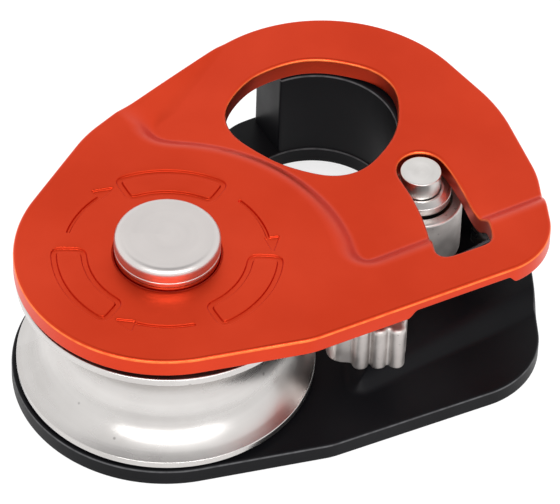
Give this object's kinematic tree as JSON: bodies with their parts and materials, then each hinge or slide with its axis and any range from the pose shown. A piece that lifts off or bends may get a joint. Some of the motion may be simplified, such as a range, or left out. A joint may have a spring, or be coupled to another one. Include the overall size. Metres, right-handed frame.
{
  "type": "rope pulley",
  "caption": "Compact rope pulley with a grooved sheave on a sealed bearing, a swinging side plate and a toothed spring cam that holds the rope.",
  "frame": {"origin": "on the sheave's axis, at the outer face of the fixed side plate, which is also the face that the pulley lies on", "axes": "+Z along the sheave's axis from the fixed plate to the moving plate; the carabiner hole lies towards +X +Y and the front edge runs along +X"},
  "size_m": [0.0604, 0.0579, 0.0229],
  "materials": {
    "black_anodised": "forged aluminium, black anodised, satin",
    "orange_anodised": "pressed aluminium, orange anodised, satin",
    "turned_aluminium": "turned and polished",
    "satin_steel": "satin stainless steel",
    "cast_stainless": "cast stainless steel, tumbled",
    "spring_steel": "spring steel",
    "bearing_steel": "ground bearing steel",
    "bearing_bronze": "sintered bronze",
    "black_polymer": "moulded polymer",
    "seal_rubber": "moulded rubber"
  },
  "bodies": {
    "frame": {"fixed_side_plate": "black_anodised", "sheave_axle": "satin_steel", "axle_head_washer": "satin_steel", "lower_spacer": "turned_aluminium", "upper_spacer": "turned_aluminium", "bearing_inner_race": "bearing_steel", "cam_axle": "satin_steel", "cam_axle_plug": "satin_steel", "cam_snap_ring": "spring_steel", "cam_spring": "spring_steel", "spring_anchor_pin": "satin_steel", "button_spring": "spring_steel"},
    "sheave_body": {"sheave": "turned_aluminium", "bearing_outer_race": "bearing_steel", "bearing_seal_lower": "seal_rubber", "bearing_seal_upper": "seal_rubber", "sheave_snap_ring": "spring_steel"},
    "ball_set": {"bearing_balls": "bearing_steel", "bearing_cage": "black_polymer"},
    "swing_plate": {"moving_side_plate": "orange_anodised", "plate_bush": "bearing_bronze"},
    "cam_body": {"cam": "cast_stainless", "cam_bush": "bearing_bronze", "cam_thrust_washer": "bearing_bronze"},
    "button": {"lock_button": "satin_steel", "button_clip": "spring_steel"}
  },
  "joints": [
    {"name": "sheave_spin", "type": "hinge", "parent": "frame", "child": "sheave_body", "pos_m": [0, 0, 0.0102], "axis": [0, 0, 1], "continuous": true},
    {"name": "ball_orbit", "type": "hinge", "parent": "frame", "child": "ball_set", "pos_m": [0, 0, 0.0102], "axis": [0, 0, 1], "continuous": true},
    {"name": "side_plate_swing", "type": "hinge", "parent": "frame", "child": "swing_plate", "pos_m": [0, 0, 0.019], "axis": [0, 0, 1], "range_deg": [0, 150]},
    {"name": "cam_pivot", "type": "hinge", "parent": "frame", "child": "cam_body", "pos_m": [0.02825, 0.0164, 0.01], "axis": [0, 0, 1], "range_deg": [0, 38], "stiffness_Nm_per_rad": 0.02, "springref_deg": -28.65},
    {"name": "lock_button_slide", "type": "slide", "parent": "frame", "child": "button", "axis": [0, 0, 1], "range_m": [-0.0012, 0], "stiffness_N_per_m": 400, "springref_m": 0.0006, "deforming": ["button_spring"]}
  ],
  "couplings": [
    {"joint": "ball_orbit", "follows": "sheave_spin", "ratio": 0.6167}
  ]
}
